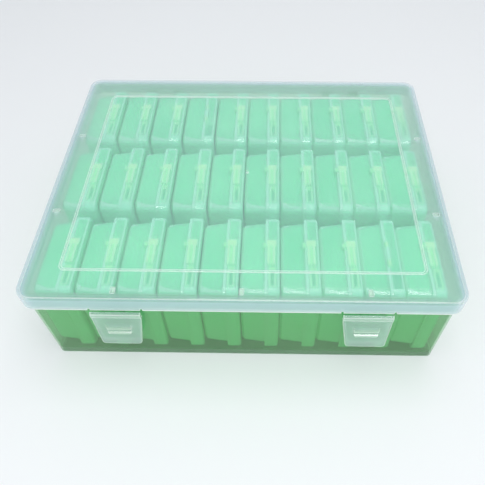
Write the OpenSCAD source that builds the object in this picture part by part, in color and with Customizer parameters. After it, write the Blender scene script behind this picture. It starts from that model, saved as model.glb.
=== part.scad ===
// Clear storage case with a hinged lid and two snap latches, packed with
// small flip-lid boxes that stand on edge in rows. Front is -Y, up is +Z and
// the origin is the middle of the footprint on the surface it stands on.

/* [Case] */
// Width of the lid over its skirt
case_w = 266; // [240:1:300]
// Depth of the lid over its skirt
case_d = 216; // [205:1:240]
// Height from the underside to the top panel
case_h = 75.5; // [75:0.5:82]
// Radius of the lid's corners in plan
lid_corner_r = 9; // [7:0.5:12]
// Radius of the base's corners in plan
base_corner_r = 4; // [3.8:0.2:6]
// Thickness of the lid's top panel
panel_t = 1.8; // [1.4:0.1:2.2]
// Height of the lid's skirt, top panel included
skirt_h = 12.2; // [9:0.1:16]
// Thickness of the lid's skirt
skirt_t = 1.7; // [1.2:0.1:2]
// Rounding of the lid's upper edge
lid_edge_r = 1.8; // [0.6:0.1:2.4]
// Thickness of the base's walls
wall_t = 1.6; // [1.2:0.1:2]
// Thickness of the base's floor
floor_t = 2; // [1.4:0.1:2.4]
// How far the base's walls stand inside the lid's outline at the rim
rim_inset = 3.7; // [3.4:0.1:4.5]
// How far the base's walls stand inside the lid's outline at the floor
foot_inset = 4.4; // [3.8:0.1:6]

/* [Lid details] */
// Width of the raised frame on the top panel
frame_w = 221; // [200:1:225]
// Depth of the raised frame on the top panel
frame_d = 171; // [160:0.5:178]
// Width of the raised line itself
frame_line_w = 1.2; // [0.8:0.1:2.5]
// Height of the raised line
frame_line_h = 0.5; // [0.3:0.1:0.8]
// Radius of the moulding dimple in the middle of the panel
dimple_r = 2.4; // [2:0.1:5]
// Height of the locating ribs under the panel
rib_h = 5; // [3:0.5:8]
// Thickness of a locating rib
rib_t = 2.2; // [1.2:0.1:3]

/* [Latches] */
// Distance from the middle of the case to a latch's outer edge
latch_out_x = 90.3; // [80:0.1:100]
// Width of a latch at its hinge
latch_top_w = 30; // [28:0.5:32]
// Width of a latch at its lower edge
latch_low_w = 25.2; // [24:0.2:27]
// Height of a latch below its hinge line
latch_h = 35.5; // [30:0.5:38]
// Thickness of a latch's plate
latch_t = 1.6; // [1.2:0.1:1.8]
// Width of the grip and of the hook behind it
hook_w = 15.8; // [12:0.2:16]

/* [Rear hinge] */
// Distance from the middle of the case to each rear hinge
hinge_x = 74; // [60:1:90]
// Radius of the rear hinge's barrels
barrel_r = 2.2; // [2:0.1:2.4]
// Radius of the pin moulded on the lid
pin_r = 1.1; // [0.9:0.1:1.3]
// Radial clearance between the pin and its bore
pin_gap = 0.1; // [0.05:0.05:0.2]
// Length of the lid's barrel
lid_barrel_l = 14; // [10:1:20]
// Length of each of the base's barrels
base_barrel_l = 8; // [6:1:12]

/* [Small boxes] */
// Columns of small boxes, left to right
columns = 10; // [10:1:10]
// Rows of small boxes, front to back
rows = 3; // [3:1:3]
// Spacing of the columns
column_pitch = 25; // [24.8:0.05:25.1]
// Spacing of the rows
row_pitch = 69; // [68:0.1:69.2]
// Thickness of a closed small box
box_t = 24.6; // [24:0.1:24.8]
// Length of a small box, front to back
box_l = 62.6; // [58:0.1:64]
// Height of a small box as it stands on edge
box_h = 67.5; // [62:0.1:67.5]
// Depth of the deep half, up to the parting line
body_depth = 17.1; // [16:0.1:18]
// Thickness of a small box's walls
box_wall = 1.2; // [1:0.1:1.4]
// How far the deep half's walls stand inside its rim
body_inset = 2; // [1.4:0.1:2.4]
// Extra narrowing of the deep half at its closed face
body_draft = 1.3; // [0.4:0.1:2]
// Length of a small box's latch tab
tab_l = 19; // [16:0.5:20]
// Height of the tab and of the hinge knuckles beyond the outline
tab_out = 1.4; // [1:0.1:1.5]

/* [Hidden] */
row_names = ["front", "middle", "back"];

// Name of one small box's deep half
function body_name(row, column) = str("box_body_", row_names[row], "_", column + 1);

// Name of the shallow halves of one column of small boxes
function lids_name(column) = str("box_lids_column_", column + 1);

body_names = [for (row = [0:2]) for (column = [0:9]) body_name(row, column)];
lids_names = [for (column = [0:9]) lids_name(column)];

// Colours
clear_plastic = [0.80, 0.90, 0.92, 0.45];
latch_plastic = [0.84, 0.93, 0.94, 0.7];
green_plastic = [0.55, 0.86, 0.66, 0.8];
pale_green_plastic = [0.66, 0.93, 0.76, 0.8];

// Case, worked out
sliver = 0.01;                          // thickness of the slices that hull() joins
facets = 32;                            // sides of round corners inside hull()
part_gap = 0.3;                         // clearance between pieces that move
rim_z = case_h - panel_t - 0.3;         // top of the base's walls
skirt_z = case_h - skirt_h;             // lower edge of the lid's skirt
front_y = -case_d / 2;                  // outer face of the skirt in front
foot_round = 1.2;                       // rounding where the walls meet the floor
inner_round = 2;                        // the same rounding inside
rib_places = 76;                        // side distance of the outer front ribs
frame_shift = -1.6;                     // the frame sits a little towards the front
frame_corner_r = 4;
side_rib_places = 38;                   // distance of the side ribs from the middle
rib_reach = 4;                          // how far a locating rib reaches inwards

// Latches, worked out
latch_axis_y = front_y - 1.4;
latch_axis_z = skirt_z - 1.1;
latch_face_y = latch_axis_y - latch_t / 2;
latch_corner_r = 2.6;
latch_centre_x = latch_out_x - latch_top_w / 2;
hook_centre_x = latch_out_x - 14.5;
hook_top_z = skirt_z - 19;              // upper face of the hook
hook_depth = 4;                         // height of the hook
hook_reach = 1.75;                      // how far the hook stands in from the plate
grip_out = 0.8;                         // how far the grip stands out
rim_w = 1.3;                            // width of the rim behind a latch's edges
rim_deep = 1;                           // how far that rim stands in from the plate
low_rim_h = 3;                          // height of the rim along the lower edge
band_h = 3.4;                           // height of the thick band under the hinge
ledge_h = 2.2;                          // thickness of the base's catch ledge
ledge_tip_y = latch_axis_y + latch_t / 2 + hook_reach + 0.25;
notch_w = 1.4;                          // width of the skirt's notch beside a latch
notch_h = 1.8;                          // height of that notch

// Rear hinge, worked out
hinge_y = case_d / 2 + 3 - barrel_r;
hinge_z = skirt_z;
hinge_half_l = lid_barrel_l / 2 + part_gap + base_barrel_l;

// Small boxes, worked out
body_facets = 16;                       // sides of the deep half's round corners inside hull()
cavity_facets = 12;                     // the same for the space inside it
lid_facets = 20;                        // the same for the shallow half
box_corner_r = 5.5;
face_round = 1.6;                       // rounding round the deep half's big face
lid_round = 2;                          // rounding round the shallow half's big face
flange_t = 1.8;                         // thickness of the deep half's rim
parting_gap = 0.15;                     // gap at the parting line
spigot_h = 2;                           // lip of the deep half inside the shallow one
knuckle_l = 10;                         // length of the deep half's hinge knuckle
ear_l = 4;                              // length of each ear on the shallow half
box_pin_r = 0.6;
box_pin_gap = 0.1;
tab_gap = 0.15;                         // gap between the tab and the rim under it
strap_start = body_depth - 0.5;         // the strap lies over the parting line
strap_w = 5;
rest_gap = 0.02;
lean_x = -2.1;                          // the rows have slid this far to the left
lean_y = -0.4;                          // and this far to the front
box_centre_z = floor_t + rest_gap + tab_out + box_h / 2;

// Boxes that stand with the hinge up and the latch down
function is_turned(row, column) = (row == 2 && column == 3) || (row == 0 && column == 8);

// ---------------------------------------------------------------- helpers

// Rectangle with round corners, centred
module plan(w, d, r) {
    square([w - 2 * r, d], center = true);
    square([w, d - 2 * r], center = true);
    for (side = [-1, 1], end = [-1, 1])
        translate([side * (w / 2 - r), end * (d / 2 - r)])
            circle(r);
}

// Thin slice of the case's outline, set in from the lid's outline
module case_slice(inset, r, z) {
    translate([0, 0, z])
        linear_extrude(sliver)
            plan(case_w - 2 * inset, case_d - 2 * inset, r, $fn = facets);
}

// Cylinder along X, centred
module bar_x(r, l) {
    rotate([0, 90, 0])
        cylinder(r = r, h = l, center = true, $fn = 32);
}

// ---------------------------------------------------------------- case base

module base_shell() {
    difference() {
        hull() {
            case_slice(foot_inset + foot_round, base_corner_r - foot_round, 0);
            case_slice(foot_inset + 0.3, base_corner_r, foot_round);
            case_slice(rim_inset, base_corner_r, rim_z - sliver);
        }
        hull() {
            case_slice(foot_inset + wall_t + inner_round, base_corner_r - wall_t - inner_round, floor_t);
            case_slice(foot_inset + wall_t, base_corner_r - wall_t, floor_t + inner_round);
            case_slice(rim_inset + wall_t, base_corner_r - wall_t, rim_z);
        }
    }
}

// Ledge on the front wall that a latch hooks under
module catch_ledge() {
    wall_y = front_y + rim_inset + 0.6;
    run = wall_y - ledge_tip_y;
    translate([-hook_w / 2 - 1.5, wall_y, hook_top_z + part_gap])
        rotate([90, 0, 90])
            linear_extrude(hook_w + 3)
                polygon([[0, 0], [-run, 0], [-run, ledge_h * 0.45], [0, ledge_h]]);
}

// One of the base's hinge barrels with the arm that carries it
module base_barrel() {
    arm_foot_y = case_d / 2 - rim_inset - 1.2;
    arm_drop = 7;
    rotate([90, 0, 90])
        translate([0, 0, -base_barrel_l / 2])
            linear_extrude(base_barrel_l)
                polygon([
                    [hinge_y, hinge_z - barrel_r],
                    [hinge_y - 0.3, hinge_z - 0.6],
                    [arm_foot_y, hinge_z - 0.6],
                    [arm_foot_y, hinge_z - barrel_r - arm_drop]
                ]);
    translate([0, hinge_y, hinge_z])
        bar_x(barrel_r, base_barrel_l);
}

module case_base() {
    barrel_shift = (lid_barrel_l + base_barrel_l) / 2 + part_gap;
    color(clear_plastic)
        difference() {
            union() {
                base_shell();
                for (side = [-1, 1]) {
                    translate([side * hook_centre_x, 0, 0])
                        catch_ledge();
                    for (end = [-1, 1])
                        translate([side * hinge_x + end * barrel_shift, 0, 0])
                            base_barrel();
                }
            }
            for (side = [-1, 1])
                translate([side * hinge_x, hinge_y, hinge_z])
                    bar_x(pin_r + pin_gap, 2 * hinge_half_l + 2);
        }
}

// ---------------------------------------------------------------- case lid

module lid_shell() {
    bevel = lid_edge_r * 0.29;
    difference() {
        hull() {
            case_slice(0, lid_corner_r, skirt_z);
            case_slice(0, lid_corner_r, case_h - lid_edge_r);
            case_slice(bevel, lid_corner_r - bevel, case_h - bevel);
            case_slice(lid_edge_r, lid_corner_r - lid_edge_r, case_h - sliver);
        }
        translate([0, 0, skirt_z - 1])
            linear_extrude(skirt_h - panel_t + 1)
                plan(case_w - 2 * skirt_t, case_d - 2 * skirt_t, lid_corner_r - skirt_t, $fn = 64);
    }
}

// Raised frame line round the top panel
module lid_frame() {
    translate([0, frame_shift, case_h - 0.2])
        linear_extrude(frame_line_h + 0.2)
            difference() {
                plan(frame_w + frame_line_w, frame_d + frame_line_w, frame_corner_r, $fn = 48);
                plan(frame_w - frame_line_w, frame_d - frame_line_w, frame_corner_r - frame_line_w, $fn = 48);
            }
}

// Locating rib that hangs from the panel and points along +Y
module locating_rib() {
    translate([rib_t / 2, 0, case_h - panel_t + 0.1])
        rotate([90, 0, -90])
            linear_extrude(rib_t)
                polygon([[0, 0], [0, -rib_h], [-0.8, -rib_h], [-rib_reach, -1], [-rib_reach, 0]]);
}

module locating_ribs() {
    start = rim_inset + wall_t + 0.35;
    for (x = [-rib_places, 0, rib_places])
        translate([x, front_y + start, 0])
            locating_rib();
    for (side = [-1, 1], y = [-side_rib_places, side_rib_places])
        translate([side * (case_w / 2 - start), y, 0])
            rotate([0, 0, side * 90])
                locating_rib();
}

// One of the lid's hinge barrels with its pin
module lid_barrel() {
    translate([0, hinge_y, hinge_z]) {
        bar_x(barrel_r, lid_barrel_l);
        bar_x(pin_r, 2 * hinge_half_l - 1);
    }
    translate([-lid_barrel_l / 2, case_d / 2 - skirt_t, hinge_z])
        cube([lid_barrel_l, hinge_y - case_d / 2 + skirt_t, barrel_r + 3]);
}

// Openings in the skirt over the base's barrels and beside the latches
module skirt_notches() {
    barrel_shift = (lid_barrel_l + base_barrel_l) / 2 + part_gap;
    for (side = [-1, 1], end = [-1, 1]) {
        translate([side * hinge_x + end * barrel_shift, case_d / 2, skirt_z])
            cube([base_barrel_l + 2 * part_gap, 2 * skirt_t + 1, 2 * barrel_r + 1.2], center = true);
        translate([side * latch_centre_x + end * (latch_top_w + notch_w) / 2, front_y, skirt_z])
            cube([notch_w, 2 * skirt_t + 1, 2 * notch_h], center = true);
    }
}

// Shallow round dimple left by the mould in the middle of the panel
module mould_dimple() {
    translate([0, frame_shift, case_h + dimple_r * 2.6])
        sphere(r = dimple_r * 2.8, $fn = 48);
}

// Stub of the mould's gate in the dimple
module gate_stub() {
    translate([0, frame_shift, case_h - 1])
        cylinder(r1 = 1.1, r2 = 0.7, h = 1, $fn = 24);
}

module case_lid() {
    color(clear_plastic) {
        difference() {
            union() {
                lid_shell();
                lid_frame();
                locating_ribs();
            }
            mould_dimple();
            skirt_notches();
        }
        gate_stub();
        for (side = [-1, 1])
            translate([side * hinge_x, 0, 0])
                lid_barrel();
    }
}

// ---------------------------------------------------------------- latches

// Flap outline seen from the front, outer edge on the +X side
module latch_outline() {
    low_in = latch_out_x - latch_low_w;
    top_in = latch_out_x - latch_top_w;
    low_z = latch_axis_z - latch_h;
    difference() {
        polygon([
            [top_in, latch_axis_z],
            [top_in, latch_axis_z - 5],
            [low_in, low_z],
            [latch_out_x, low_z],
            [latch_out_x, latch_axis_z]
        ]);
        for (corner = [[low_in, 0], [latch_out_x, 90]])
            translate([corner[0], low_z])
                rotate(corner[1])
                    difference() {
                        translate([-1, -1])
                            square(latch_corner_r + 1);
                        translate([latch_corner_r, latch_corner_r])
                            circle(latch_corner_r, $fn = 32);
                    }
    }
}

// Rim behind the flap's side edges and lower edge
module latch_rim() {
    rim_top = latch_axis_z - 5;
    low_z = latch_axis_z - latch_h;
    translate([0, latch_axis_y + latch_t / 2 + rim_deep, 0])
        rotate([90, 0, 0])
            linear_extrude(rim_deep + 0.2)
                difference() {
                    latch_outline();
                    intersection() {
                        offset(delta = -rim_w)
                            latch_outline();
                        translate([0, low_z + low_rim_h])
                            square([case_w, latch_h]);
                    }
                    translate([0, rim_top])
                        square([case_w, latch_h]);
                }
}

// Hook that reaches in under the ledge
module latch_hook() {
    inner_y = latch_axis_y + latch_t / 2;
    translate([hook_centre_x - hook_w / 2, 0, hook_top_z])
        rotate([90, 0, 90])
            linear_extrude(hook_w)
                polygon([
                    [inner_y - 0.5, 0],
                    [inner_y + hook_reach, 0],
                    [inner_y + hook_reach, -1.2],
                    [inner_y - 0.5, -hook_depth]
                ]);
}

// Grip: a wedge that grows out of the flap, with a groove above its lip
module latch_grip() {
    top_z = hook_top_z + 7;
    lip_z = hook_top_z - 2.1;
    low_z = hook_top_z - 4.8;
    taper = 1.3;
    half = hook_w / 2;
    intersection() {
        translate([hook_centre_x - half, 0, 0])
            rotate([90, 0, 90])
                linear_extrude(hook_w)
                    polygon([
                        [latch_face_y + 0.5, top_z],
                        [latch_face_y, top_z],
                        [latch_face_y - grip_out * 0.7, lip_z + 3],
                        [latch_face_y - grip_out * 0.2, lip_z + 2.4],
                        [latch_face_y - grip_out * 0.2, lip_z + 0.4],
                        [latch_face_y - grip_out, lip_z],
                        [latch_face_y - grip_out, low_z + 0.8],
                        [latch_face_y - grip_out * 0.5, low_z],
                        [latch_face_y + 0.5, low_z]
                    ]);
        translate([hook_centre_x, latch_axis_y, 0])
            rotate([90, 0, 0])
                linear_extrude(5)
                    polygon([
                        [-half, top_z],
                        [-half + taper, low_z + 2],
                        [-half + taper + 1.5, low_z],
                        [half - 1.5, low_z],
                        [half, low_z + 1.5],
                        [half, top_z]
                    ]);
    }
}

// Latch for the right-hand side
module latch() {
    translate([0, latch_axis_y + latch_t / 2, 0])
        rotate([90, 0, 0])
            linear_extrude(latch_t)
                latch_outline();
    translate([latch_centre_x, latch_axis_y, latch_axis_z])
        bar_x(latch_t / 2, latch_top_w);
    // thick band under the hinge
    translate([latch_out_x - latch_top_w, latch_face_y - 0.4, latch_axis_z - band_h])
        cube([latch_top_w, 1, band_h - 0.3]);
    latch_rim();
    latch_hook();
    latch_grip();
}

module latch_right() {
    color(latch_plastic)
        latch();
}

module latch_left() {
    color(latch_plastic)
        mirror([1, 0, 0])
            latch();
}

// ---------------------------------------------------------------- small boxes
// A small box is drawn lying on its closed face: X is its length, Y its
// height as it stands, Z its thickness, with the parting line at body_depth.

module box_slice(inset, r, z, sides) {
    translate([0, 0, z])
        linear_extrude(sliver)
            plan(box_l - 2 * inset, box_h - 2 * inset, r, $fn = sides);
}

// Cylinder along a small box's hinge line
module knuckle(r, l, x = 0) {
    translate([x, -box_h / 2, body_depth + parting_gap / 2])
        bar_x(r, l);
}

module box_body() {
    face_inset = body_inset + body_draft;
    cavity_inset = body_inset + box_wall - 0.3;
    spigot_inset = box_wall + 0.25;
    spigot_l = box_l - 2 * spigot_inset;
    spigot_d = box_h - 2 * spigot_inset;
    difference() {
        union() {
            hull() {
                box_slice(face_inset + face_round, box_corner_r - face_round, 0, body_facets);
                box_slice(face_inset, box_corner_r, face_round, body_facets);
                box_slice(body_inset, box_corner_r, body_depth - sliver, body_facets);
            }
            translate([0, 0, body_depth - flange_t])
                linear_extrude(flange_t)
                    plan(box_l, box_h, box_corner_r, $fn = 32);
            translate([0, 0, body_depth - flange_t])
                linear_extrude(flange_t + spigot_h)
                    plan(spigot_l, spigot_d, box_corner_r - spigot_inset, $fn = 32);
            knuckle(tab_out, knuckle_l);
        }
        hull() {
            box_slice(face_inset + box_wall, box_corner_r - box_wall, box_wall, cavity_facets);
            box_slice(cavity_inset, box_corner_r - box_wall, body_depth + spigot_h, cavity_facets);
        }
        knuckle(box_pin_r + box_pin_gap, knuckle_l + 2);
        for (side = [-1, 1])
            knuckle(tab_out + 0.2, ear_l + 0.5, side * (knuckle_l + ear_l + 0.5) / 2);
    }
}

// Latch tab on the shallow half: strap, cross bar, catch lug, block and runners
module box_tab() {
    top = box_h / 2;
    strap_h = tab_out - 0.4;
    lug_start = body_depth - flange_t - 1.6;
    bar_l = 5;
    ridge_w = 1.5;
    lug_l = 3;
    lug_x = tab_l / 2 - bar_l;
    front_x = -tab_l / 2;
    block_x = front_x - 4.5;
    runner_x = -box_l / 2 + box_corner_r;
    // strap over the parting line, with a ridge along each side
    translate([front_x, top + tab_gap, strap_start])
        cube([tab_l, strap_h - tab_gap, strap_w]);
    for (z = [strap_start, strap_start + strap_w - ridge_w])
        translate([front_x, top + strap_h - 0.3, z])
            cube([tab_l, 0.7, ridge_w]);
    // root of the strap on the shallow half
    translate([front_x, top - 0.5, body_depth + 0.6])
        cube([tab_l, 0.5 + strap_h, strap_w - 1.1]);
    // cross bar at the strap's rear end
    translate([tab_l / 2 - bar_l, top + tab_gap, strap_start - 0.6])
        cube([bar_l, tab_out - tab_gap, strap_w + 1.4]);
    // catch lug that reaches behind the deep half's rim, joined to the cross bar
    translate([lug_x, top + tab_gap, lug_start])
        cube([lug_l, strap_h - tab_gap, strap_start - lug_start + 0.5]);
    translate([lug_x, top - 1.1, lug_start])
        cube([lug_l, 1.1 + strap_h, 1.4]);
    // block in front of the strap
    translate([block_x, top - 0.4, strap_start + 1])
        cube([2.5, 1.4, strap_w - 0.6]);
    // two runners towards the front corner, with a foot across their ends
    for (z = [body_depth + 0.5, body_depth + 4])
        translate([runner_x, top - 0.4, z])
            cube([block_x - runner_x + 0.5, 0.9, 1]);
    translate([runner_x, top - 0.4, body_depth + 0.5])
        cube([0.9, 1.1, 4.5]);
}

module box_lid() {
    start = body_depth + parting_gap;
    bevel = lid_round * 0.29;
    difference() {
        union() {
            hull() {
                box_slice(0, box_corner_r, start, lid_facets);
                box_slice(0, box_corner_r, box_t - lid_round, lid_facets);
                box_slice(bevel, box_corner_r - bevel, box_t - bevel, lid_facets);
                box_slice(lid_round, box_corner_r - lid_round, box_t - sliver, lid_facets);
            }
            for (side = [-1, 1])
                knuckle(tab_out, ear_l, side * (knuckle_l + ear_l + 0.5) / 2);
        }
        translate([0, 0, start - 1])
            linear_extrude(box_t - box_wall - start + 1)
                plan(box_l - 2 * box_wall, box_h - 2 * box_wall, box_corner_r - box_wall, $fn = 32);
        knuckle(tab_out + 0.2, knuckle_l + 0.5);
    }
    knuckle(box_pin_r, knuckle_l + ear_l);
    box_tab();
}

// Puts a small box in its place, standing on edge
module stand(row, column) {
    x = lean_x + (column - (columns - 1) / 2) * column_pitch - box_t / 2;
    y = lean_y + (row - (rows - 1) / 2) * row_pitch;
    translate([x, y, box_centre_z])
        rotate([90, 0, 90])
            rotate([0, 0, is_turned(row, column) ? 180 : 0])
                children();
}

module box_lids(column) {
    color(pale_green_plastic)
        for (row = [0:rows - 1])
            stand(row, column)
                box_lid();
}

// ---------------------------------------------------------------- the part

case_base();
case_lid();
latch_left();
latch_right();
for (row = [0:rows - 1], column = [0:columns - 1])
    color(green_plastic) stand(row, column) box_body();
for (column = [0:columns - 1])
    box_lids(column);
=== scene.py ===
import math

import bpy
from mathutils import Matrix, Vector

# The case with its small boxes on a plain floor, seen from the photo's viewpoint.
# Lengths are in metres.

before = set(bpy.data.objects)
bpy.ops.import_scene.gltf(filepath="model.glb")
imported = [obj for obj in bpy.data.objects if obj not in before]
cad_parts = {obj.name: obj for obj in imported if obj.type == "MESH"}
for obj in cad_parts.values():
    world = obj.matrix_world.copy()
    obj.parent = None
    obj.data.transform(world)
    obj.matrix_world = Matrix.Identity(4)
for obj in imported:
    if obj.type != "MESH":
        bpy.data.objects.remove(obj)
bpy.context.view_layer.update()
MM = 0.001

# ---------------------------------------------------------------- camera

PICTURE_PX = 485            # width and height of the picture
FOCAL_PX = 529.45           # focal length, in pixels of that picture
PRINCIPAL_X = 265.0         # column that the lens points at
SENSOR_WIDTH = 36.0
NEAREST_SEEN = 0.01
CAMERA_AT = Vector((16.56, -271.73, 333.91)) * MM
YAW, PITCH, ROLL = (math.radians(a) for a in (-0.93, 51.29, -0.07))


def make_camera():
    """A level camera turned by YAW, pointed down by PITCH and tipped by ROLL."""
    data = bpy.data.cameras.new("camera")
    data.sensor_width = SENSOR_WIDTH
    data.sensor_fit = "HORIZONTAL"
    data.lens = FOCAL_PX / PICTURE_PX * data.sensor_width
    data.shift_x = -(PRINCIPAL_X - PICTURE_PX / 2) / PICTURE_PX
    data.clip_start = NEAREST_SEEN
    camera = bpy.data.objects.new("camera", data)
    forward = Vector((
        math.sin(YAW) * math.cos(PITCH),
        math.cos(YAW) * math.cos(PITCH),
        -math.sin(PITCH),
    ))
    level = Vector((math.cos(YAW), -math.sin(YAW), 0))
    upright = level.cross(forward)
    right = math.cos(ROLL) * level + math.sin(ROLL) * upright
    up = -math.sin(ROLL) * level + math.cos(ROLL) * upright
    turn = Matrix((right, up, -forward)).transposed().to_4x4()
    camera.matrix_world = Matrix.Translation(CAMERA_AT) @ turn
    bpy.context.scene.collection.objects.link(camera)
    bpy.context.scene.camera = camera


# ---------------------------------------------------------------- stage and light

FLOOR_COLOUR = (0.82, 0.83, 0.84, 1)
FLOOR_ROUGHNESS = 0.9
FLOOR_SPECULAR = 0.1
FLOOR_HALF_W = 2.0          # half width, and reach towards the front
BACKDROP_Y = 1.2            # where the floor has turned up into the backdrop
BACKDROP_H = 1.6
BEND_R = 0.5                # radius of that turn
BEND_STEPS = 12

WORLD_COLOUR = (0.92, 0.96, 1.0, 1)
WORLD_STRENGTH = 0.58
LAMP_AIM = Vector((0, 0, 0.03))
# name, place, width and height, watts
LAMPS = [
    ("key", (0.15, 0.0, 1.4), (1.1, 0.8), 5.6),
    ("fill", (0.05, -0.9, 1.05), (0.9, 0.25), 7.9),
]


def make_floor():
    """A floor that turns up into a backdrop behind the object."""
    profile = [(-FLOOR_HALF_W, 0.0), (BACKDROP_Y - BEND_R, 0.0)]
    for k in range(1, BEND_STEPS + 1):
        a = math.pi / 2 * k / BEND_STEPS
        profile.append((BACKDROP_Y - BEND_R + BEND_R * math.sin(a), BEND_R * (1 - math.cos(a))))
    profile.append((BACKDROP_Y, BACKDROP_H))
    verts = [(x, y, z) for y, z in profile for x in (-FLOOR_HALF_W, FLOOR_HALF_W)]
    faces = [(2 * k, 2 * k + 1, 2 * k + 3, 2 * k + 2) for k in range(len(profile) - 1)]
    mesh = bpy.data.meshes.new("floor")
    mesh.from_pydata(verts, [], faces)
    for face in mesh.polygons:
        face.use_smooth = True
    floor = bpy.data.objects.new("floor", mesh)
    bpy.context.scene.collection.objects.link(floor)
    material = bpy.data.materials.new("floor")
    material.use_nodes = True
    shader = material.node_tree.nodes["Principled BSDF"]
    shader.inputs["Base Color"].default_value = FLOOR_COLOUR
    shader.inputs["Roughness"].default_value = FLOOR_ROUGHNESS
    shader.inputs["Specular IOR Level"].default_value = FLOOR_SPECULAR
    mesh.materials.append(material)


def add_lamp(name, at, size, watts):
    data = bpy.data.lights.new(name, "AREA")
    data.shape = "RECTANGLE"
    data.size, data.size_y = size
    data.energy = watts
    lamp = bpy.data.objects.new(name, data)
    lamp.location = at
    lamp.rotation_euler = (LAMP_AIM - Vector(at)).to_track_quat("-Z", "Y").to_euler()
    bpy.context.scene.collection.objects.link(lamp)


def light_scene():
    world = bpy.data.worlds.new("studio")
    bpy.context.scene.world = world
    world.use_nodes = True
    background = world.node_tree.nodes["Background"]
    background.inputs["Color"].default_value = WORLD_COLOUR
    background.inputs["Strength"].default_value = WORLD_STRENGTH
    for lamp in LAMPS:
        add_lamp(*lamp)


# ---------------------------------------------------------------- shader nodes


def add_node(tree, kind, **values):
    """A shader node with the given input values, an underscore standing for a space."""
    node = tree.nodes.new(kind)
    for key, value in values.items():
        node.inputs[key.replace("_", " ")].default_value = value
    return node


def ramp(tree, source, low, high, to_low=0.0, to_high=1.0):
    """source from low..high brought to to_low..to_high, clamped."""
    limits = {"From_Min": low, "From_Max": high, "To_Min": to_low, "To_Max": to_high}
    node = add_node(tree, "ShaderNodeMapRange", **limits)
    tree.links.new(source, node.inputs["Value"])
    return node.outputs["Result"]


def inverse(tree, mask):
    """1 where the mask is 0, and 0 where it is 1."""
    return ramp(tree, mask, 0.0, 1.0, 1.0, 0.0)


def combine(tree, operation, first, second):
    """A Math node's result, clamped to 0..1. Either input may be a number."""
    node = tree.nodes.new("ShaderNodeMath")
    node.operation = operation
    node.use_clamp = True
    for socket, value in zip(node.inputs, (first, second)):
        if isinstance(value, float):
            socket.default_value = value
        else:
            tree.links.new(value, socket)
    return node.outputs[0]


def blend_colour(tree, share, first, second):
    """first where share is 0 and second where it is 1. Either may be a fixed colour."""
    node = tree.nodes.new("ShaderNodeMix")
    node.data_type = "RGBA"
    tree.links.new(share, node.inputs["Factor"])
    colour_sockets = [socket for socket in node.inputs if socket.type == "RGBA"]
    for socket, value in zip(colour_sockets, (first, second)):
        if isinstance(value, tuple):
            socket.default_value = (*value, 1)
        else:
            tree.links.new(value, socket)
    return next(socket for socket in node.outputs if socket.type == "RGBA")


def blend_shaders(tree, share, first, second):
    """first where share is 0 and second where it is 1. share may be a number."""
    node = tree.nodes.new("ShaderNodeMixShader")
    if isinstance(share, float):
        node.inputs[0].default_value = share
    else:
        tree.links.new(share, node.inputs[0])
    tree.links.new(first.outputs[0], node.inputs[1])
    tree.links.new(second.outputs[0], node.inputs[2])
    return node


def noise(tree, place, scale, detail):
    node = add_node(tree, "ShaderNodeTexNoise", Scale=scale, Detail=detail)
    tree.links.new(place, node.inputs["Vector"])
    return node.outputs["Fac"]


def along(tree, place, axis):
    """The place along one axis, "X", "Y" or "Z"."""
    parts = tree.nodes.new("ShaderNodeSeparateXYZ")
    tree.links.new(place, parts.inputs[0])
    return parts.outputs[axis]


# ---------------------------------------------------------------- masks
# Each is 0..1 over a piece, by the piece's own place, so it rides with the piece.

EDGE_SAMPLES = 6
EDGE_TURN = (0.995, 0.90)           # cosine between a face's normal and the rounded one

# Rectangles in plan, as two opposite corners. OPEN is beyond every piece.
OPEN = 1.0
FRAME_LINE = ((-0.1105, -0.0871), (0.1105, 0.0839))     # raised line on the lid's panel
LID_INSIDE = ((-0.1305, -0.1055), (0.1305, 0.1055))     # all that the skirt surrounds
BOX_BLOCK = ((-0.1262, -OPEN), (0.1262, OPEN))          # the small boxes, left to right
LATCH_PLATE = ((-OPEN, -0.1103), (OPEN, OPEN))          # a latch without its grip
SHARP, GRADUAL = 0.0004, 0.0012     # how far outside the rectangle a mask is full

# Heights, as height_mask takes them
PANEL = (0.0734, 0.0738)
UNDER_PANEL = (0.0737, 0.0735)
# height below which the lid's skirt gets a painted glow
SKIRT_GLOW = (0.0742, 0.0734)
# height of a painted highlight along the skirt's lower rim
SKIRT_EDGE_HIGHLIGHT = (0.0645, 0.0641)
# height below which the base gets painted shade at its foot
FLOOR_SHADE = (0.0030, 0.0022)
# height of a painted highlight along the base's foot
FOOT_EDGE_HIGHLIGHT = (0.0011, 0.0006)
# heights of painted highlight along the small boxes' flange and top roundings, these three
BODY_FLANGE_HIGHLIGHT = (0.0692, 0.0695)
BODY_ROUNDING_HIGHLIGHT = (0.0661, 0.0663, 0.0677)    # where the deep half's top meets its big face
COVER_ROUNDING_HIGHLIGHT = (0.0702, 0.0704, 0.0709)   # the same on the shallow half
COVER_TOP = (0.07084, 0.07090, 0.07105)
TAB = (0.0710, 0.0711)
# height above which the tabs' ridges get a painted highlight
TAB_RIDGE_HIGHLIGHT = (0.0720, 0.0722)

# Y towards the front and towards the rear, then the share of the painted bluish reflection at
# each
MARGIN_REFLECTION = (-0.09, 0.06, 0.15, 1.0)

# The rows of small boxes, from front to rear
ROW_PITCH = 0.069
MIDDLE_ROW_Y = -0.0004
Y_REACH = 0.2                       # further from the origin than any piece
MOST_ROWS = 10.0                    # more rows than fit in that
# where the painted light on the small boxes' ends begins
LIT_END_FROM_MIDDLE = (0.0252, 0.0262)          # distance from the row's middle
SLOT_FRONT = (0.620, 0.630)         # share of the way from one row's middle to the next
SLOT_REAR = (0.792, 0.800)


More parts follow.
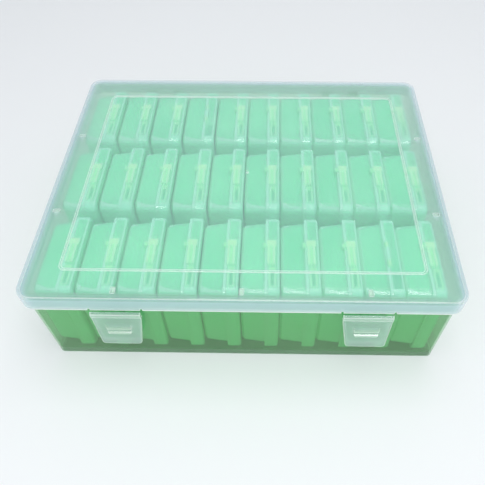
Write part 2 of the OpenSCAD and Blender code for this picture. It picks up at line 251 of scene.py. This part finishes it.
def edge_highlight_mask(tree, width):
    """1 on sharp edges and in corners, and 0 elsewhere: where the painted highlight goes,
    standing in for light that a thin wall gathers.
    """
    round_normal = add_node(tree, "ShaderNodeBevel", Radius=width)
    round_normal.samples = EDGE_SAMPLES
    true_normal = tree.nodes.new("ShaderNodeNewGeometry")
    dot = tree.nodes.new("ShaderNodeVectorMath")
    dot.operation = "DOT_PRODUCT"
    tree.links.new(round_normal.outputs["Normal"], dot.inputs[0])
    tree.links.new(true_normal.outputs["Normal"], dot.inputs[1])
    return ramp(tree, dot.outputs["Value"], *EDGE_TURN)


def height_mask(tree, place, clear_at, full_at, clear_again=None):
    """0 at the height clear_at, 1 at full_at, and 0 once more past clear_again."""
    height = along(tree, place, "Z")
    mask = ramp(tree, height, clear_at, full_at)
    if clear_again:
        fade = abs(full_at - clear_at)
        fall = ramp(tree, height, clear_again - fade, clear_again, 1.0, 0.0)
        mask = combine(tree, "MULTIPLY", mask, fall)
    return mask


def outside_mask(tree, place, low, high, fade=SHARP):
    """1 outside the rectangle from low to high in plan, and 0 inside it."""
    mask = None
    for k, axis in enumerate("XY"):
        for limit, step in ((low[k], -fade), (high[k], fade)):
            side = ramp(tree, along(tree, place, axis), limit, limit + step)
            mask = side if mask is None else combine(tree, "MAXIMUM", mask, side)
    return mask


def lid_margin_reflection(tree, place):
    """The panel outside the raised frame line, with a painted bluish reflection that grows
    towards the rear.
    """
    beyond = outside_mask(tree, place, *FRAME_LINE)
    beyond = combine(tree, "MULTIPLY", beyond, height_mask(tree, place, *PANEL))
    rearward = ramp(tree, along(tree, place, "Y"), *MARGIN_REFLECTION)
    return combine(tree, "MULTIPLY", beyond, rearward)


def lid_skirt_glow(tree, place):
    # painted glow: the skirt is made milkier and brighter, standing in for light carried along
    # the wall
    return height_mask(tree, place, *SKIRT_GLOW)


def lid_rib_highlight(tree, place):
    """The locating ribs, which hang under the panel inside the skirt, painted white as a
    highlight.
    """
    within = inverse(tree, outside_mask(tree, place, *LID_INSIDE))
    return combine(tree, "MULTIPLY", within, height_mask(tree, place, *UNDER_PANEL))


def base_floor_shade(tree, place):
    # painted shade: the base's lowest band is darker
    return height_mask(tree, place, *FLOOR_SHADE)


def base_ends_sheen(tree, place):
    """The walls beyond the small boxes, painted paler as a low-angle sheen."""
    return outside_mask(tree, place, *BOX_BLOCK, GRADUAL)


def latch_grip(tree, place):
    """The pad that stands out from the latch's plate."""
    return outside_mask(tree, place, *LATCH_PLATE)


def row_place(tree, place):
    """Y, three rows on so that it is above zero, with the rows' middles at whole pitches."""
    shift = 3 * ROW_PITCH - MIDDLE_ROW_Y
    y = along(tree, place, "Y")
    return ramp(tree, y, -Y_REACH, Y_REACH, shift - Y_REACH, shift + Y_REACH)


def box_slot_shade(tree, place):
    """The face between the two runners of a small box's tab, painted darker as shade in the
    recess.
    """
    limits = (0.0, MOST_ROWS * ROW_PITCH, 0.0, MOST_ROWS)
    way = combine(tree, "FRACT", ramp(tree, row_place(tree, place), *limits), 0.0)
    front = ramp(tree, way, *SLOT_FRONT)
    rear = ramp(tree, way, *SLOT_REAR, 1.0, 0.0)
    slot = combine(tree, "MULTIPLY", front, rear)
    return combine(tree, "MULTIPLY", slot, height_mask(tree, place, *COVER_TOP))


def box_ends_lit(tree, place):
    """The rounded front and rear ends of the small boxes, painted brighter as light glowing
    through them into the gaps between rows.
    """
    from_middle = combine(tree, "PINGPONG", row_place(tree, place), ROW_PITCH / 2)
    return ramp(tree, from_middle, *LIT_END_FROM_MIDDLE)


def box_tab_dense_and_lit(tree, place):
    """All that stands above the small boxes' own tops: the tab, denser as a thicker part and
    painted brighter as a highlight.
    """
    return height_mask(tree, place, *TAB)


def tab_ridge_highlight(tree, place):
    # painted highlight on the ridges of each small box's tab
    return height_mask(tree, place, *TAB_RIDGE_HIGHLIGHT)


# ---------------------------------------------------------------- plastics

WHITE = (1.0, 1.0, 1.0)
PLASTIC_IOR = 1.49
CLOUD_SCALE = 25.0          # slow change of colour and gloss, about 40 mm across
CLOUD_RANGE = (0.3, 0.7)    # where the noise is taken as 0 and as 1
GRAIN_SCALE = 500.0         # faint moulded grain, about 2 mm across
GRAIN_RELIEF = 0.04
GRAIN_DEPTH = 0.0001
COVER_SPREAD = 0.03         # how much the clouds change the cover
LOW_ANGLE_BLEND = 0.4


def plastic(name, deep, pale, edge, tint, cover, edge_cover, soft, rough, edge_width,
            zones=(), highlight_lines=()):
    """Moulded translucent plastic.

    deep and pale are the colours that the clouds run between, and edge is the painted highlight's
    colour on edges and corners.
    cover is how much of the surface scatters light, seen face on and at a low angle. The
    rest lets light through with the tint. edge_cover is the same for the painted highlight on
    edges.
    soft is the share of the scattered light that comes from behind.
    rough is the range of the gloss's roughness.
    zones are parts coloured apart, each with the mask that finds it, its colour and how much it
    covers: the latch's thicker grip, and painted highlight, glow, reflection and shade, as each
    mask says.
    lines are heights, as height_mask takes them, at which the painted highlight is also laid.
    """
    material = bpy.data.materials.new(name)
    material.use_nodes = True
    tree = material.node_tree
    tree.nodes.remove(tree.nodes["Principled BSDF"])
    place = tree.nodes.new("ShaderNodeTexCoord").outputs["Object"]
    clouds = noise(tree, place, scale=CLOUD_SCALE, detail=3.0)
    grain = noise(tree, place, scale=GRAIN_SCALE, detail=2.0)
    roughness = ramp(tree, clouds, *CLOUD_RANGE, *rough)
    bump = add_node(tree, "ShaderNodeBump", Strength=GRAIN_RELIEF, Distance=GRAIN_DEPTH)
    tree.links.new(grain, bump.inputs["Height"])

    # where the painted highlight goes: edges and corners, and the given heights
    edges = edge_highlight_mask(tree, edge_width)
    for line in highlight_lines:
        edges = combine(tree, "MAXIMUM", edges, height_mask(tree, place, *line))
    masks = [(find(tree, place), zone_colour, amount) for find, zone_colour, amount in zones]

    colour = blend_colour(tree, ramp(tree, clouds, *CLOUD_RANGE), deep, pale)
    for mask, zone_colour, _ in masks:
        colour = blend_colour(tree, mask, colour, zone_colour)
    colour = blend_colour(tree, edges, colour, edge)

    front = add_node(tree, "ShaderNodeBsdfPrincipled", IOR=PLASTIC_IOR)
    behind = tree.nodes.new("ShaderNodeBsdfTranslucent")
    tree.links.new(colour, front.inputs["Base Color"])
    tree.links.new(colour, behind.inputs["Color"])
    tree.links.new(roughness, front.inputs["Roughness"])
    tree.links.new(bump.outputs["Normal"], front.inputs["Normal"])
    scatter = blend_shaders(tree, soft, front, behind)

    clear = add_node(tree, "ShaderNodeBsdfTransparent", Color=(*tint, 1))
    low_angle = add_node(tree, "ShaderNodeLayerWeight", Blend=LOW_ANGLE_BLEND).outputs["Facing"]
    share = ramp(tree, low_angle, 0.0, 1.0, *cover)
    spread = ramp(tree, clouds, *CLOUD_RANGE, -COVER_SPREAD, COVER_SPREAD)
    share = combine(tree, "ADD", share, spread)
    covers = [(edges, edge_cover)] + [(mask, amount) for mask, _, amount in masks]
    for mask, amount in covers:
        share = combine(tree, "MAXIMUM", share, combine(tree, "MULTIPLY", mask, amount))
    surface = blend_shaders(tree, share, clear, scatter)

    # gloss on the outside of each wall only
    shine = add_node(tree, "ShaderNodeBsdfGlossy", Color=(*WHITE, 1))
    tree.links.new(roughness, shine.inputs["Roughness"])
    tree.links.new(bump.outputs["Normal"], shine.inputs["Normal"])
    mirrored = add_node(tree, "ShaderNodeFresnel", IOR=PLASTIC_IOR).outputs[0]
    inside = tree.nodes.new("ShaderNodeNewGeometry").outputs["Backfacing"]
    mirrored = combine(tree, "MULTIPLY", mirrored, inverse(tree, inside))
    glossed = blend_shaders(tree, mirrored, surface, shine)
    tree.links.new(glossed.outputs[0], tree.nodes["Material Output"].inputs["Surface"])
    return material


def make_materials():
    """One material for each kind of piece, by the start of its nodes' names."""
    # In each, edge is the colour of the painted highlight on edges and corners.
    return {
        "case_lid": plastic(
            "case_lid_clear",
            deep=(0.66, 0.86, 1.0), pale=(0.76, 0.94, 1.0), edge=WHITE, tint=(0.99, 1.0, 1.0),
            cover=(0.01, 0.34), edge_cover=0.95, soft=0.5, rough=(0.06, 0.12), edge_width=0.0014,
            zones=[
                (lid_margin_reflection, (0.84, 0.92, 1.0), 0.24),
                (lid_skirt_glow, (0.72, 0.88, 0.98), 0.58),
                (lid_rib_highlight, WHITE, 0.95),
            ],
            highlight_lines=[SKIRT_EDGE_HIGHLIGHT],
        ),
        "case_base": plastic(
            "case_base_clear",
            deep=(0.16, 0.42, 0.16), pale=(0.23, 0.51, 0.23), edge=(0.86, 1.0, 0.92),
            tint=(0.76, 0.92, 0.77),
            cover=(0.12, 0.38), edge_cover=0.80, soft=0.5, rough=(0.06, 0.12), edge_width=0.0010,
            zones=[
                (base_ends_sheen, (0.60, 0.76, 0.68), 0.34),
                (base_floor_shade, (0.07, 0.31, 0.10), 0.64),
            ],
            highlight_lines=[FOOT_EDGE_HIGHLIGHT],
        ),
        "latch": plastic(
            "latch_milky",
            deep=(0.62, 0.78, 0.78), pale=(0.72, 0.88, 0.88), edge=WHITE, tint=(0.94, 1.0, 0.97),
            cover=(0.24, 0.58), edge_cover=0.90, soft=0.5, rough=(0.08, 0.16), edge_width=0.0014,
            zones=[(latch_grip, (0.86, 1.0, 0.92), 0.80)],
        ),
        "box_body": plastic(
            "box_green",
            deep=(0.22, 0.95, 0.48), pale=(0.29, 1.0, 0.55), edge=(0.52, 1.0, 0.72),
            tint=(0.80, 1.0, 0.89),
            cover=(0.72, 0.86), edge_cover=0.94, soft=0.15, rough=(0.08, 0.16), edge_width=0.0014,
            zones=[(box_ends_lit, (0.38, 1.0, 0.64), 0.95)],
            highlight_lines=[BODY_FLANGE_HIGHLIGHT, BODY_ROUNDING_HIGHLIGHT],
        ),
        "box_lids": plastic(
            "box_lid_green",
            deep=(0.25, 0.96, 0.50), pale=(0.33, 1.0, 0.57), edge=(0.48, 1.0, 0.68),
            tint=(0.80, 1.0, 0.89),
            cover=(0.64, 0.82), edge_cover=0.94, soft=0.12, rough=(0.08, 0.16), edge_width=0.0012,
            zones=[
                (box_ends_lit, (0.40, 1.0, 0.66), 0.95),
                (box_slot_shade, (0.15, 0.78, 0.38), 0.75),
                (box_tab_dense_and_lit, (0.40, 1.0, 0.44), 0.97),
                (tab_ridge_highlight, (0.58, 1.0, 0.52), 0.98),
            ],
            highlight_lines=[COVER_ROUNDING_HIGHLIGHT],
        ),
    }


def dress_frame():
    looks = make_materials()
    for name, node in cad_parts.items():
        material = next(m for start, m in looks.items() if name.startswith(start))
        for slot in node.material_slots:
            slot.material = material


make_camera()
make_floor()
light_scene()
dress_frame()
bpy.context.scene.view_settings.view_transform = "Standard"
# a ray crosses the walls of many nested boxes before it leaves them
bpy.context.scene.cycles.transparent_max_bounces = 48
bpy.context.scene.cycles.diffuse_bounces = 8
